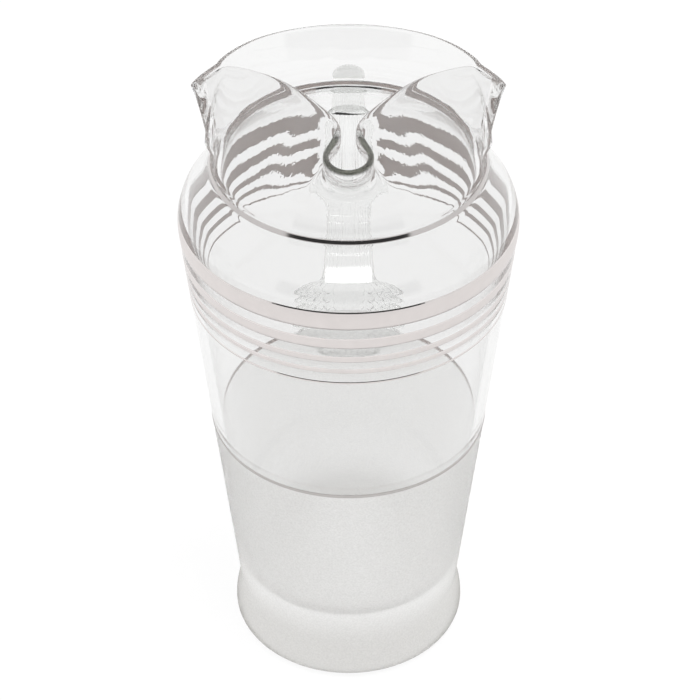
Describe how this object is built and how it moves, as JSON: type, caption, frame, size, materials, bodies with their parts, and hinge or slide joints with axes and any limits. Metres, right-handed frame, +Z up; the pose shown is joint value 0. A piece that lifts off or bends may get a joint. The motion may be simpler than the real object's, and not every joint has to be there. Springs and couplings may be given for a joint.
{
  "type": "cocktail pitcher",
  "caption": "Tall clear glass pitcher with a pinched keyhole spout, applied reeded strap handle, silver bands under the shoulder and a frosted lower body.",
  "frame": {"origin": "middle of the flat base, on the vessel's axis", "axes": "+Z up along the vessel's axis, the spout points to -Y, the handle to +Y, +X to the right of the spout side"},
  "size_m": [0.114, 0.1483, 0.2294],
  "materials": {
    "vessel_glass": "clear, polished; satin frosted on the outside below the lowest silver line",
    "handle_glass": "clear, reeded, slightly green in its thickness",
    "silver": "satin fired silver"
  },
  "bodies": {
    "root": {"glass_body": "vessel_glass", "handle": "handle_glass", "neck_band": "silver", "shoulder_band_1": "silver", "shoulder_band_2": "silver", "shoulder_band_3": "silver", "shoulder_band_4": "silver", "shoulder_band_5": "silver", "frost_hairline": "silver"}
  },
  "joints": []
}
